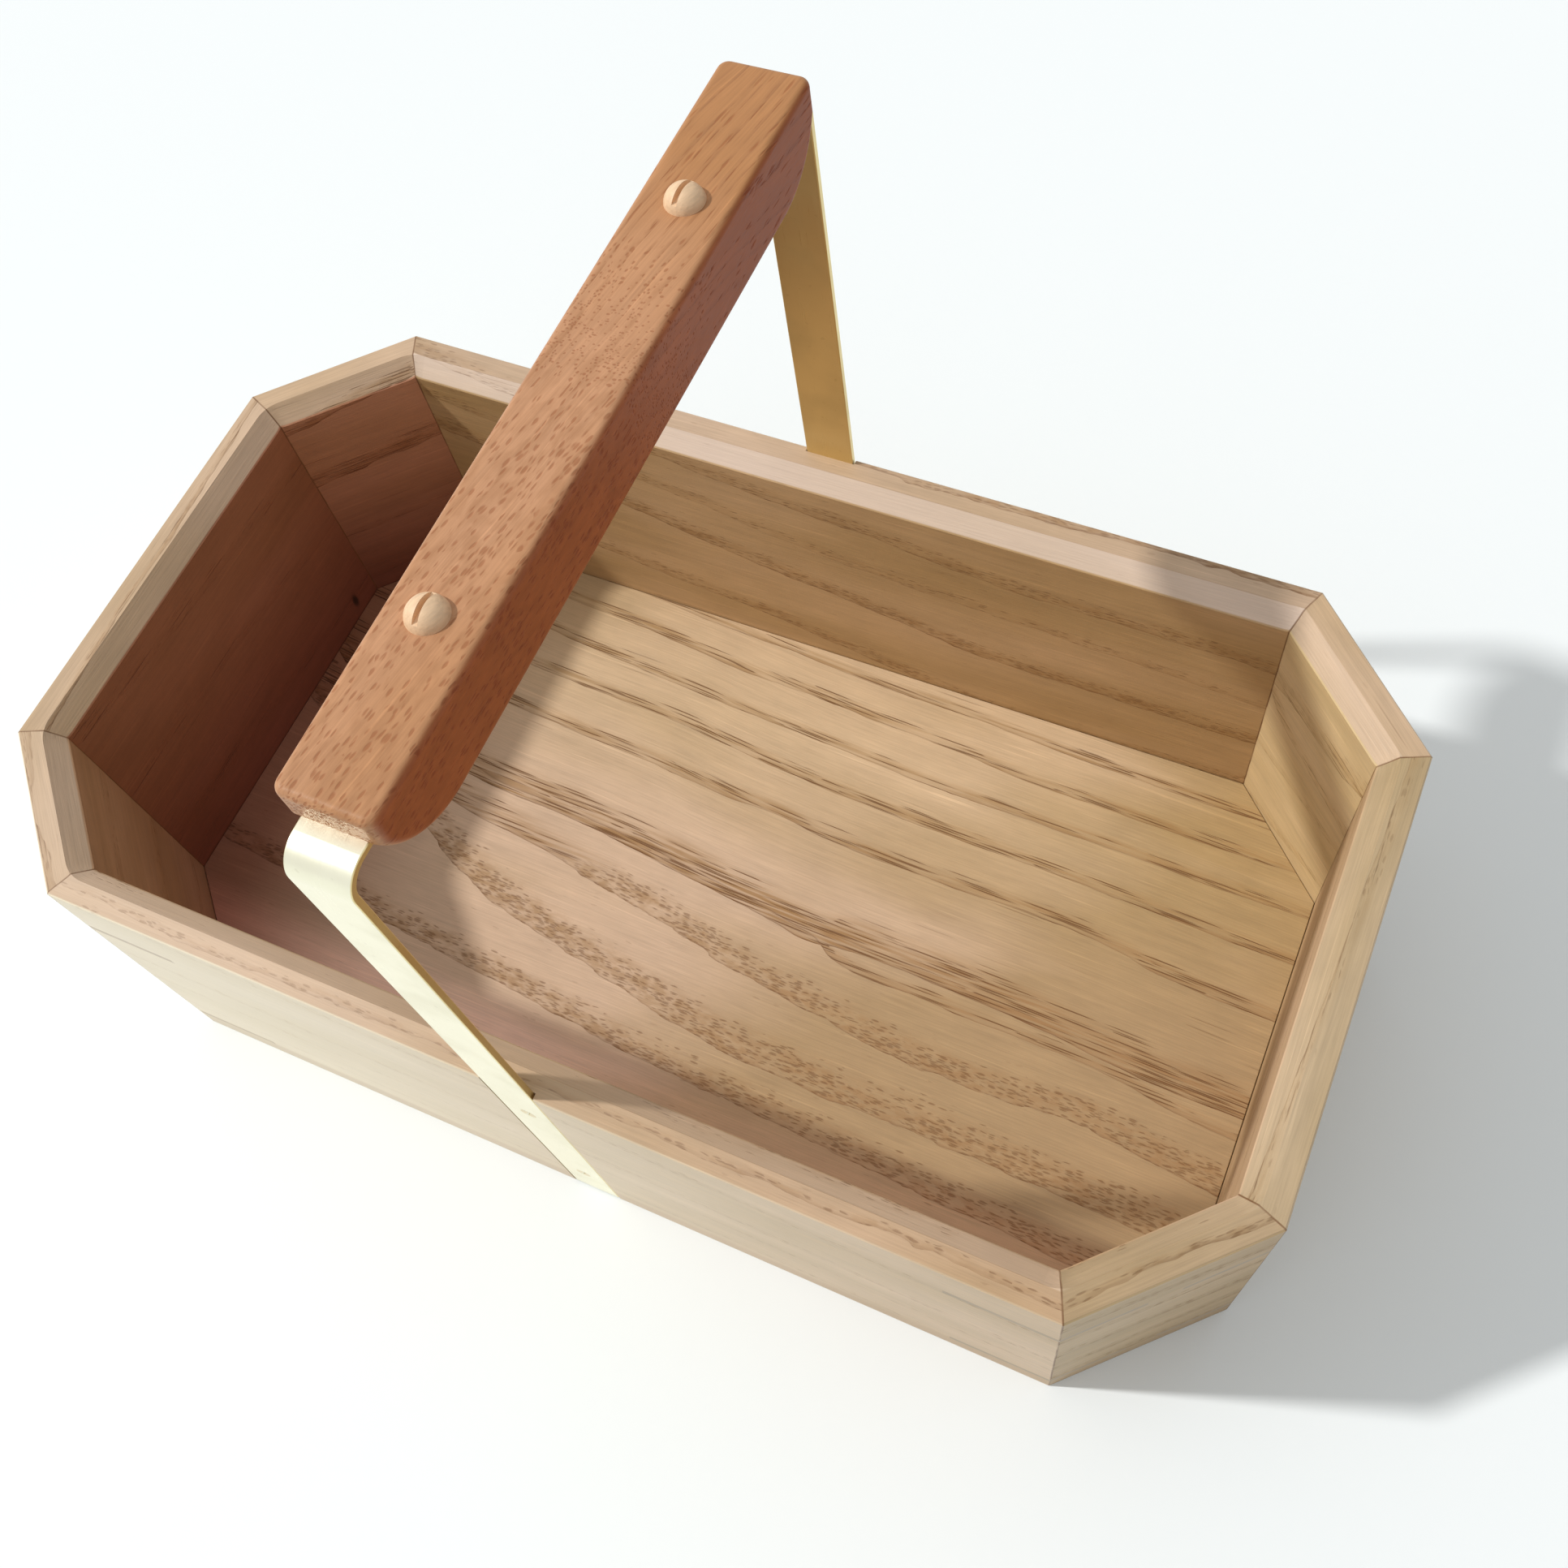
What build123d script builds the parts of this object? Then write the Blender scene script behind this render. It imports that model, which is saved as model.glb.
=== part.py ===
from build123d import *
import math
import os

os.makedirs("parts", exist_ok=True)

# Millimetres. The origin is on the table under the middle of the tray.
# X runs along the tray, Y away from the viewer along the handle, Z up.

# Tray walls: two side boards, two end boards and four corner boards at 45 degrees
tray_length = 400.0
tray_width = 225.0
wall_height = 118.0
wall_thickness = 13.0
corner_board_width = 60.0
edge_easing = 0.5

# Moulded rim: a flat band, then a 45 degree bevel cut with a bearing on the inner walls
rim_flat_width = 7.2
rim_bearing_radius = 6.0

# Floor board, held by a tongue in a groove round the walls, free to swell
floor_underside_height = 4.0
floor_thickness = 9.0
tongue_thickness = 5.0
tongue_length = 5.0
tongue_top_gap = 0.2
tongue_end_gap = 0.5
floor_edge_gap = 0.2
floor_edge_easing = 0.2

# Mitre keys: thin slips glued into saw cuts across each mitre, flush outside
key_thickness = 3.0
key_gap_on_corner_board = 10.0
key_skew_angle = 3.0
key_web_above_groove = 1.3
upper_key_below_rim = 26.0

# Handle strap: one flat brass strip bent into a U, let flush into the side boards
strap_width = 16.0
strap_thickness = 2.0
strap_bend_radius = 7.5
strap_edge_easing = 0.25
strap_foot_gap = 1.0
strap_recess_side_gap = 0.5

# Grip: two hardwood halves with the strap between them, set a little to the far side
hand_gap = 128.0
grip_near_end_inset = 10.5
grip_far_end_inset = 5.5
grip_width = 24.0
grip_lower_thickness = 16.0
grip_upper_thickness = 9.0
grip_corner_radius = 3.0
grip_end_sweep_radius = 24.0
grip_top_edge_radius = 2.0
grip_under_edge_radius = 3.0
grip_groove_side_gap = 0.2

# Round-head screws down through the grip and the strap, the near one a little left of the middle
grip_screw_spacing = 118.0
grip_screw_near_shift = -1.4
grip_screw_head_diameter = 10.0
grip_screw_head_height = 4.2
grip_screw_slot_width = 1.3
grip_screw_slot_depth = 2.2
grip_screw_shank_diameter = 6.0
grip_screw_tip_cover = 6.0
grip_screw_hole_gap = 0.2
grip_screw_slot_angles = {"near": 90.0, "far": 83.0}

# Countersunk screws, two through each leg of the strap into the side boards
strap_screw_below_rim = 25.0
strap_screw_above_table = 22.5
strap_screw_head_diameter = 5.0
strap_screw_head_angle = 90.0
strap_screw_shank_diameter = 3.0
strap_screw_tip_cover = 2.0
strap_screw_slot_width = 0.8
strap_screw_slot_depth = 0.6
strap_screw_slot_angle = 65.0
strap_screw_hole_gap = 0.1

# How far every cutting shape runs past what it cuts
overrun = 1.0

# Heights and lengths that follow from the sizes above
rim_bevel_depth = wall_thickness - rim_flat_width
groove_top_height = floor_underside_height + tongue_thickness + tongue_top_gap
lower_key_height = groove_top_height + key_web_above_groove + key_thickness / 2
upper_key_height = wall_height - upper_key_below_rim
grip_underside_height = wall_height + hand_gap
grip_seam_height = grip_underside_height + grip_lower_thickness
grip_top_height = grip_seam_height + grip_upper_thickness
grip_length = tray_width - grip_near_end_inset - grip_far_end_inset
grip_middle = (grip_near_end_inset - grip_far_end_inset) / 2
grip_screw_length = grip_upper_thickness + grip_lower_thickness - grip_screw_tip_cover
strap_screw_length = wall_thickness - strap_screw_tip_cover
strap_screw_heights = [strap_screw_above_table, wall_height - strap_screw_below_rim]

# Boards in order round the tray, each from its own corner to the next one
board_names = [
    "side_board_near",
    "corner_board_near_right",
    "end_board_right",
    "corner_board_far_right",
    "side_board_far",
    "corner_board_far_left",
    "end_board_left",
    "corner_board_near_left",
]
corner_names = [
    "near_side_left",
    "near_side_right",
    "right_end_near",
    "right_end_far",
    "far_side_right",
    "far_side_left",
    "left_end_far",
    "left_end_near",
]


def tray_corners(inset):
    """The eight corners of the tray's plan, all its faces moved inwards by inset."""
    half_length = tray_length / 2 - inset
    half_width = tray_width / 2 - inset
    corner_cut = corner_board_width / math.sqrt(2) - inset * (2 - math.sqrt(2))
    short_half = half_length - corner_cut
    narrow_half = half_width - corner_cut
    return [
        (-short_half, -half_width),
        (short_half, -half_width),
        (half_length, -narrow_half),
        (half_length, narrow_half),
        (short_half, half_width),
        (-short_half, half_width),
        (-half_length, narrow_half),
        (-half_length, -narrow_half),
    ]


def tray_plate(inset, bottom, top):
    """A flat plate with the tray's plan, inset from its faces."""
    plan = Polygon(*tray_corners(inset), align=None)
    return extrude(Pos(0, 0, bottom) * plan, top - bottom)


def rounded_plan(inset, radius, height):
    """The tray's plan at one height with its corners rounded."""
    plan = Polygon(*tray_corners(inset), align=None)
    return Pos(0, 0, height) * fillet(plan.vertices(), radius)


def rim_cutter():
    """The space above the rim's bevel, as the turning cutter sweeps it."""
    lower_face = rounded_plan(
        wall_thickness + overrun,
        rim_bearing_radius - overrun,
        wall_height - rim_bevel_depth - overrun,
    )
    upper_face = rounded_plan(
        rim_flat_width - overrun,
        rim_bearing_radius + rim_bevel_depth + overrun,
        wall_height + overrun,
    )
    return loft([lower_face, upper_face], ruled=True)


def plain_board(index):
    """One mitred wall board with its outer long edges eased."""
    outer = tray_corners(0)
    inner = tray_corners(wall_thickness)
    following = (index + 1) % len(outer)
    plan = Polygon(outer[index], outer[following], inner[following], inner[index], align=None)
    board = extrude(plan, wall_height)
    middle_x = (outer[index][0] + outer[following][0]) / 2
    middle_y = (outer[index][1] + outer[following][1]) / 2
    foot_edge = board.edges().sort_by_distance((middle_x, middle_y, 0))[0]
    rim_edge = board.edges().sort_by_distance((middle_x, middle_y, wall_height))[0]
    return chamfer([foot_edge, rim_edge], edge_easing)


def step_towards(start, end, length):
    """The point at a length along the straight line from start towards end."""
    run_x = end[0] - start[0]
    run_y = end[1] - start[1]
    whole = math.hypot(run_x, run_y)
    return (start[0] + run_x * length / whole, start[1] + run_y * length / whole)


def key_lengths():
    """How far a key shows on a long board and on a corner board."""
    half_corner = math.pi / 2 - math.pi / len(board_names)
    skew = math.sin(half_corner) * math.tan(math.radians(key_skew_angle))
    on_corner_board = (corner_board_width - key_gap_on_corner_board) / 2
    depth = on_corner_board * (math.cos(half_corner) + skew)
    on_long_board = depth / (math.cos(half_corner) - skew)
    return on_long_board, on_corner_board


def mitre_key(index, height):
    """One three-sided slip across the mitre at a corner, centred on a height."""
    corners = tray_corners(0)
    on_long_board, on_corner_board = key_lengths()
    before = corners[index - 1]
    after = corners[(index + 1) % len(corners)]
    length_before = on_corner_board
    length_after = on_long_board
    if index % 2:
        length_before = on_long_board
        length_after = on_corner_board
    outline = Polygon(
        corners[index],
        step_towards(corners[index], after, length_after),
        step_towards(corners[index], before, length_before),
        align=None,
    )
    return extrude(Pos(0, 0, height - key_thickness / 2) * outline, key_thickness)


def mitre_keys(index):
    """The lower and the upper key of one corner."""
    return [mitre_key(index, lower_key_height), mitre_key(index, upper_key_height)]


def screw_place(side, height):
    """The middle of a strap screw's head, its Z pointing out of the side board."""
    face_y = side * tray_width / 2
    return Plane(origin=(0, face_y, height), x_dir=(-side, 0, 0), z_dir=(0, side, 0)).location


def turned(outline):
    """A round solid turned from the half outline given as radius and height."""
    face = make_face(Plane.XZ * Polyline(*outline, close=True))
    return revolve(face, Axis.Z)


def countersunk_body(gap, top):
    """A countersunk screw's body, or the hole for it with a gap all round."""
    head_radius = strap_screw_head_diameter / 2 + gap
    shank_radius = strap_screw_shank_diameter / 2 + gap
    slope = math.tan(math.radians(strap_screw_head_angle / 2))
    length = strap_screw_length + gap
    return turned([
        (0, top),
        (head_radius + top * slope, top),
        (shank_radius, (shank_radius - head_radius) / slope),
        (shank_radius, -length),
        (0, -length),
    ])


def strap_screw(side, height):
    """One slotted countersunk screw, its head flush with the strap."""
    slot_length = strap_screw_head_diameter + 2 * overrun
    slot_height = strap_screw_slot_depth + overrun
    slot = Box(slot_length, strap_screw_slot_width, slot_height)
    slot = Pos(0, 0, slot_height / 2 - strap_screw_slot_depth) * slot
    screw = countersunk_body(0, 0) - Rot(0, 0, strap_screw_slot_angle) * slot
    return screw_place(side, height) * screw


def strap_screw_holes(side):
    """The holes for one leg's screws, through the strap and into the board."""
    hole = countersunk_body(strap_screw_hole_gap, overrun)
    return [screw_place(side, height) * hole for height in strap_screw_heights]


def strap_recess(side):
    """The shallow channel in a side board that the strap's leg lies in."""
    width = strap_width + 2 * strap_recess_side_gap
    channel = Box(width, 2 * strap_thickness, wall_height + 2 * overrun)
    return Pos(0, side * tray_width / 2, wall_height / 2) * channel


def wall_boards():
    """All eight boards, cut for the floor, the rim, the keys and the strap."""
    rim = rim_cutter()
    groove_inset = wall_thickness - tongue_length - tongue_end_gap
    groove = tray_plate(groove_inset, floor_underside_height, groove_top_height)
    boards = {}
    for index, name in enumerate(board_names):
        board = plain_board(index) - rim - groove
        for corner in (index, (index + 1) % len(board_names)):
            for key in mitre_keys(corner):
                board -= key
        boards[name] = board
    for side, name in ((-1, "side_board_near"), (1, "side_board_far")):
        boards[name] -= strap_recess(side)
        for hole in strap_screw_holes(side):
            boards[name] -= hole
    return boards


def floor_board():
    """The floor with its tongue; the raised middle shows inside the walls."""
    tongue_top = floor_underside_height + tongue_thickness
    floor_top = floor_underside_height + floor_thickness
    tongue = tray_plate(wall_thickness - tongue_length, floor_underside_height, tongue_top)
    middle = tray_plate(wall_thickness + floor_edge_gap, floor_underside_height, floor_top)
    middle = chamfer(middle.faces().sort_by(Axis.Z)[-1].edges(), floor_edge_easing)
    return tongue + middle


def strap_arch(inset, foot):
    """The strap's side view as a solid arch, its faces moved in by inset."""
    half = tray_width / 2 - inset
    top = grip_seam_height - inset
    outline = Polygon((-half, foot), (half, foot), (half, top), (-half, top), align=None)
    return fillet(outline.vertices().group_by(Axis.Y)[-1], strap_bend_radius - inset)


def bent_strip(width):
    """A plain strip bent to the strap's side view, of any width."""
    side_view = strap_arch(0, strap_foot_gap) - strap_arch(strap_thickness, strap_foot_gap - overrun)
    return extrude(Plane.YZ * side_view, width / 2, both=True)


def grip_screw_place(side, height):
    """The place at a height of a grip screw's middle line."""
    shift = grip_screw_near_shift if side < 0 else 0
    return Pos(shift, grip_middle + side * grip_screw_spacing / 2, height)


def grip_screw_holes(length):
    """Round holes along the grip for the screw shanks, down from the grip's top."""
    radius = grip_screw_shank_diameter / 2 + grip_screw_hole_gap
    height = length + overrun
    drill = Cylinder(radius, height)
    middle = grip_top_height + overrun - height / 2
    return [grip_screw_place(side, middle) * drill for side in (-1, 1)]


def handle_strap():
    """The bent strap with its long edges eased and its screw holes."""
    strap = bent_strip(strap_width)
    side_faces = strap.faces().sort_by(Axis.X)
    long_edges = side_faces[0].edges() + side_faces[-1].edges()
    strap = chamfer(long_edges, strap_edge_easing)
    for side in (-1, 1):
        for hole in strap_screw_holes(side):
            strap -= hole
    for hole in grip_screw_holes(grip_screw_length):
        strap -= hole
    return strap


def grip_lower_half():
    """The palm side of the grip: ends swept up, edges rounded, grooved for the strap."""
    half = grip_length / 2
    turn = math.acos(1 - grip_lower_thickness / grip_end_sweep_radius)
    flat_half = half - grip_end_sweep_radius * math.sin(turn)
    centre_height = grip_underside_height + grip_end_sweep_radius
    turn_degrees = math.degrees(turn)
    outline = [
        Line((half, grip_seam_height), (-half, grip_seam_height)),
        CenterArc((-flat_half, centre_height), grip_end_sweep_radius, 270 - turn_degrees, turn_degrees),
        Line((-flat_half, grip_underside_height), (flat_half, grip_underside_height)),
        CenterArc((flat_half, centre_height), grip_end_sweep_radius, 270, turn_degrees),
    ]
    blank = extrude(Plane.YZ * make_face(Wire(outline)), grip_width / 2, both=True)
    side_faces = blank.faces().sort_by(Axis.X)
    under_edges = []
    for face in (side_faces[0], side_faces[-1]):
        under_edges += face.edges().sort_by(Axis.Z)[:-1]
    blank = fillet(under_edges, grip_under_edge_radius)
    plan = RectangleRounded(grip_width, grip_length, grip_corner_radius)
    blank &= extrude(Pos(0, 0, grip_underside_height) * plan, grip_lower_thickness)
    blank = Pos(0, grip_middle, 0) * blank
    blank -= bent_strip(strap_width + 2 * grip_groove_side_gap)
    for hole in grip_screw_holes(grip_screw_length + grip_screw_hole_gap):
        blank -= hole
    return blank


def grip_upper_half():
    """The top of the grip, lying on the strap and the lower half."""
    plan = RectangleRounded(grip_width, grip_length, grip_corner_radius)
    upper = extrude(Pos(0, grip_middle, grip_seam_height) * plan, grip_upper_thickness)
    upper = fillet(upper.faces().sort_by(Axis.Z)[-1].edges(), grip_top_edge_radius)
    for hole in grip_screw_holes(grip_screw_length):
        upper -= hole
    return upper


def grip_screw(side, slot_angle):
    """One slotted round-head screw, its head seated on the grip's top."""
    head_radius = grip_screw_head_diameter / 2
    shank_radius = grip_screw_shank_diameter / 2
    dome_radius = (head_radius ** 2 + grip_screw_head_height ** 2) / (2 * grip_screw_head_height)
    dome_angle = math.degrees(math.asin(head_radius / dome_radius))
    dome_centre = (0, grip_screw_head_height - dome_radius)
    outline = [
        CenterArc(dome_centre, dome_radius, 90 - dome_angle, dome_angle),
        Line((0, grip_screw_head_height), (0, -grip_screw_length)),
        Line((0, -grip_screw_length), (shank_radius, -grip_screw_length)),
        Line((shank_radius, -grip_screw_length), (shank_radius, 0)),
        Line((shank_radius, 0), (head_radius, 0)),
    ]
    screw = revolve(Plane.XZ * make_face(Wire(outline)), Axis.Z)
    slot_height = grip_screw_slot_depth + overrun
    slot = Box(grip_screw_head_diameter + 2 * overrun, grip_screw_slot_width, slot_height)
    slot = Pos(0, 0, grip_screw_head_height - grip_screw_slot_depth + slot_height / 2) * slot
    screw -= Rot(0, 0, slot_angle) * slot
    return grip_screw_place(side, grip_top_height) * screw


def write_node(name, solids):
    """Write one node, from a single solid or from a list of separate ones."""
    if isinstance(solids, list):
        solids = Compound(children=solids)
    export_step(solids, f"parts/{name}.step")


for board_name, board in wall_boards().items():
    write_node(board_name, board)
for corner_index, corner_name in enumerate(corner_names):
    write_node(f"mitre_keys_{corner_name}", mitre_keys(corner_index))
write_node("floor_board", floor_board())
write_node("handle_strap", handle_strap())
write_node("grip_lower_half", grip_lower_half())
write_node("grip_upper_half", grip_upper_half())
for side_name, side in (("near", -1), ("far", 1)):
    write_node(f"grip_screw_{side_name}", grip_screw(side, grip_screw_slot_angles[side_name]))
    leg_screws = [strap_screw(side, height) for height in strap_screw_heights]
    write_node(f"strap_screws_{side_name}", leg_screws)
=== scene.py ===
import math

import bpy
from mathutils import Matrix, Vector


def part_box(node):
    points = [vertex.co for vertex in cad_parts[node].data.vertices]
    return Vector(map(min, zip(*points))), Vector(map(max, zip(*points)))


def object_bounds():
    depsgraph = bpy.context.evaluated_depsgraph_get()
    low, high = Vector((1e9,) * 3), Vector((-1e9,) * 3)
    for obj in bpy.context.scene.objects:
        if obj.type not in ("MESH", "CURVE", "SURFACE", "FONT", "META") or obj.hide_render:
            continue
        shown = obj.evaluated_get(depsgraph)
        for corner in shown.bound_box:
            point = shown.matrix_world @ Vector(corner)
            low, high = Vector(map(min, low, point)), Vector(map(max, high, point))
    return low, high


bl_info = {
    "name": "Trug garden basket",
    "version": (1, 0, 0),
    "blender": (4, 5, 0),
    "location": "3D View > Sidebar > Trug",
    "description": "Gives an eight-sided wooden trug its wood and brass, and a stage for its picture",
    "category": "Object",
}

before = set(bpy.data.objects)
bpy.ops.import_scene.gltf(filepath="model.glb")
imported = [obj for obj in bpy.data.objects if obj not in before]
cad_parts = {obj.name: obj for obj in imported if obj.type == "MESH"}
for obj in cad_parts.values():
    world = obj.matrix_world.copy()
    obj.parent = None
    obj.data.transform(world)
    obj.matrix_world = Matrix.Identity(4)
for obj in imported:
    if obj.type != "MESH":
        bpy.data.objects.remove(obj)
cad_low, cad_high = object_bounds()

MILLIMETRE = 0.001

# The wall boards in order round the tray, each turned by one more eighth of a circle
WALL_BOARDS = (
    "side_board_near",
    "corner_board_near_right",
    "end_board_right",
    "corner_board_far_right",
    "side_board_far",
    "corner_board_far_left",
    "end_board_left",
    "corner_board_near_left",
)
EIGHTH_TURN = math.pi / 4

# The keys on the near left, which take the pale painted sheen and painted light of the outer faces there
SHEENED_KEYS = ("mitre_keys_near_side_left", "mitre_keys_left_end_near")

# The wood of each wall board, seen from the outside, in millimetres. Each entry of "lines" is the
# start of one year's ring: the reach of its pores, how strong it shows, and the places it runs
# through, as distance along the board and height. "face" is how deep the face with those heights
# lies, and "lean" how much the lines climb for each millimetre deeper. "short" is the share of
# short pores among long ones, and "shift" moves the fine grain. "sheen" and "rim" say how pale
# the outer face and the rim are at the board's two ends. This is painted sheen and painted light,
# strongest on the near left. "bevel" says how pale its bevel is, as painted sheen. "inside", "foot",
# "top" and "outside" tint the inner face, its lower edge, the rim and the outer face, and "knot" is
# the place of a small knot on the inner face. Of these tints, "inside" is painted shade on the left
# boards and painted light on the far right corner, "foot" is painted shade, "top" is painted shade
# on the right boards, and "outside" is painted shade on the near right corner. The rest are slight
# tints of the wood.
WALL_WOOD = {
    "side_board_near": {
        "face": 0, "lean": -0.8, "short": 0.9, "shift": 0,
        "inside": (1.0, 1.0, 1.0), "sheen": (0.95, 0.25), "rim": (0.75, 0.0), "bevel": 0.5,
        "top": (0.97, 0.94, 0.91),
        "lines": (
            (1.8, 0.6, ((-160, 121.5), (-60, 120.2), (60, 121.2), (160, 120.4))),
            (5, 0.45, ((-160, 116), (-100, 111), (-60, 107.5), (-20, 106), (50, 98), (100, 92), (160, 87))),
            (5, 0.4, ((-160, 72), (-100, 69), (-50, 66), (0, 64), (60, 60), (100, 56), (160, 51))),
            (4, 0.3, ((-160, 48), (0, 44), (60, 41), (100, 36), (160, 32))),
            (4, 0.3, ((-160, 24), (0, 18), (160, 10))),
        ),
    },
    "corner_board_near_right": {
        "face": 0, "lean": -0.8, "short": 0.8, "shift": 210,
        "inside": (1.0, 1.0, 1.0), "sheen": (0.1, 0.0), "rim": (0.0, 0.0), "bevel": 0.2,
        "top": (0.80, 0.82, 0.76), "outside": (0.86, 0.87, 0.74),
        "lines": (
            (1.8, 0.7, ((-32, 120.6), (0, 121.4), (32, 120.4))),
            (7, 0.55, ((-32, 104), (0, 102), (32, 98))),
            (7, 0.5, ((-32, 84), (0, 81), (32, 79))),
            (8, 0.6, ((-32, 60), (0, 58), (32, 54))),
            (7, 0.5, ((-32, 36), (0, 33), (32, 31))),
            (9, 0.7, ((-32, 14), (0, 12), (32, 9))),
        ),
    },
    "end_board_right": {
        "face": 13, "lean": 1.6, "short": 0.5, "shift": 430,
        "inside": (1.0, 1.0, 0.95), "sheen": (0.3, 0.3), "rim": (0.05, 0.05), "bevel": 0.0,
        "top": (0.85, 0.90, 0.85),
        "lines": (
            (5, 0.5, ((-72, 118), (0, 126), (72, 131))),
            (5, 0.4, ((-72, 86), (0, 91), (72, 97))),
            (5, 0.5, ((-72, 52), (0, 58), (72, 62))),
            (5, 0.4, ((-72, 22), (0, 27), (72, 30))),
        ),
    },
    "corner_board_far_right": {
        "face": 13, "lean": 0.7, "short": 0.4, "shift": 640,
        "inside": (1.25, 1.35, 1.2), "sheen": (0.3, 0.3), "rim": (0.1, 0.1), "bevel": 0.4,
        "lines": (
            (10, 0.6, ((-32, 96), (-10, 88), (10, 86), (32, 80))),
            (6, 0.5, ((-32, 65), (0, 69), (15, 72), (32, 84))),
            (4, 0.35, ((-32, 55), (32, 44))),
            (4, 0.4, ((-32, 29), (0, 17), (32, 10))),
        ),
    },
    "side_board_far": {
        "face": 13, "lean": 0.9, "short": 0.75, "shift": 870,
        "inside": (0.96, 0.90, 0.71), "sheen": (0.5, 0.5), "rim": (0.05, 0.1), "bevel": 1.0,
        "top": (0.95, 0.95, 0.97),
        "lines": (
            (3.5, 1.0, ((-160, 126.5), (-110, 127.8), (-60, 127), (-10, 128.5), (20, 135), (160, 150))),
            (7, 0.65, ((-160, 87), (-110, 90), (-60, 90.5), (-20, 96), (20, 101), (60, 107.5), (160, 125))),
            (6, 0.4, ((-160, 66), (-60, 72.5), (0, 77), (20, 80), (40, 85), (60, 88.5), (160, 106))),
            (8, 0.85, ((-160, 41.5), (-110, 42.3), (-60, 43.2), (-40, 46.5), (-20, 51), (20, 58), (40, 62),
                (75, 70), (160, 88))),
            (7, 0.65, ((-160, 14), (-60, 9), (-20, 15.5), (20, 24.5), (40, 28), (75, 33), (160, 47))),
        ),
    },
    "corner_board_far_left": {
        "face": 13, "lean": 0.6, "short": 0.35, "shift": 1080,
        "inside": (0.92, 0.62, 0.54), "foot": (0.40, 0.18, 0.18), "sheen": (0.6, 0.6), "rim": (0.1, 0.1),
        "bevel": 0.05,
        "lines": (
            (5, 1.0, ((-32, 114.3), (0, 110.5), (32, 105))),
            (8, 0.95, ((-32, 81.6), (0, 80.5), (32, 78))),
            (4, 0.25, ((-32, 50), (32, 46))),
            (4, 0.25, ((-32, 24), (32, 19))),
        ),
    },
    "end_board_left": {
        "face": 13, "lean": 1.5, "short": 0.4, "shift": 1290,
        "inside": (0.64, 0.37, 0.29), "foot": (0.42, 0.18, 0.18), "sheen": (0.8, 0.8), "rim": (0.15, 0.15),
        "bevel": 0.05, "knot": (-53, 21),
        "lines": (
            (3, 0.8, ((-72, 133), (-20, 129), (30, 127), (72, 122))),
            (6, 0.25, ((-72, 92), (0, 98), (72, 107))),
            (6, 0.2, ((-72, 55), (0, 66), (72, 70))),
            (6, 0.2, ((-72, 18), (0, 28), (72, 34))),
        ),
    },
    "corner_board_near_left": {
        "face": 13, "lean": 0.9, "short": 0.5, "shift": 1510,
        "inside": (0.90, 0.76, 0.65), "foot": (0.66, 0.48, 0.42), "sheen": (0.9, 0.9), "rim": (0.3, 0.3),
        "bevel": 0.2,
        "lines": (
            (3, 0.7, ((-32, 126), (0, 128), (32, 126))),
            (5, 0.3, ((-32, 88), (32, 92))),
            (5, 0.3, ((-32, 52), (32, 58))),
            (5, 0.3, ((-32, 20), (32, 27))),
        ),
    },
}

# The row of pores in the middle of the floor's far half, which the grain beside it follows
FLOOR_RUN = ((-190, 62), (-110, 54.5), (-40, 51.3), (-28, 49.8), (0, 47.2), (40, 45), (120, 43), (190, 40))
FLOOR_RUN_MIDDLE = 47.2
FLOOR_RUN_FADE = (-60.0, 40.0)

# The rings' lines on the floor's top, with the distance towards the far wall as height: broad bands
# of short pores in the near half, straight rows of long ones in the far half
FLOOR_LINES = (
    (9, 0.95, ((-190, -52), (-100, -60), (-60, -64), (0, -70), (40, -71.5), (100, -75.5), (150, -78),
        (190, -80))),
    (12, 1.0, ((-190, 14), (-150, -4), (-115, -21), (-100, -29), (-80, -37), (-60, -41.5), (-40, -46),
        (0, -53.5), (40, -57.5), (100, -58.5), (190, -61))),
    (10, 1.0, ((-190, 24), (-150, 4), (-110, -8), (-92, -10.7), (-70, -13.2), (-44, -18.2), (-15, -22.7),
        (10, -28.5), (37, -32), (81, -37), (117, -37), (135, -35.5), (153, -37), (190, -41.5))),
    (4, 0.9, ((-190, 40), (-110, 8), (-60, 4), (-20, 0), (20, -5), (36, -8.5), (43, -12.6), (80, -14.8),
        (120, -15.8), (145, -17), (160, -19.5), (190, -22.5))),
    (12, 1.35, ((-190, 36), (-150, 14), (-110, 4.5), (-60, 1.2), (-20, -3.2), (20, -8), (34, -10),
        (44, -8.4), (80, -8.3), (120, -10.5), (140, -13), (190, -15))),
    (5.5, 1.0, ((-190, 46), (-110, 36.5), (-60, 33.7), (-20, 31), (8, 30.2), (22, 28.5), (60, 26.7),
        (128, 25), (146, 21.8), (190, 19.5))),
    (5, 0.95, FLOOR_RUN),
    (4.5, 0.95, ((-190, 80), (-110, 71.5), (-80, 69), (-40, 65.5), (0, 63), (40, 60.7), (100, 59.5),
        (190, 57.5))),
    (4.5, 0.95, ((-190, 95), (-110, 87), (-60, 84), (-36, 80.5), (0, 79), (60, 76), (80, 74.5),
        (190, 72.5))),
    (4, 0.9, ((-190, 112), (-60, 97), (-20, 94.5), (20, 92), (60, 91), (100, 89), (190, 87.5))),
)

# Beyond this line the floor's pores run long, with a soft change over the fade's distances
FLOOR_LONG_EDGE = (
    (-190, 20), (-110, -13), (-60, -14), (-40, -9), (0, -10), (44, -16), (120, -19), (190, -26),
)
FLOOR_LONG_FADE = (-4.0, 4.0)
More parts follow.
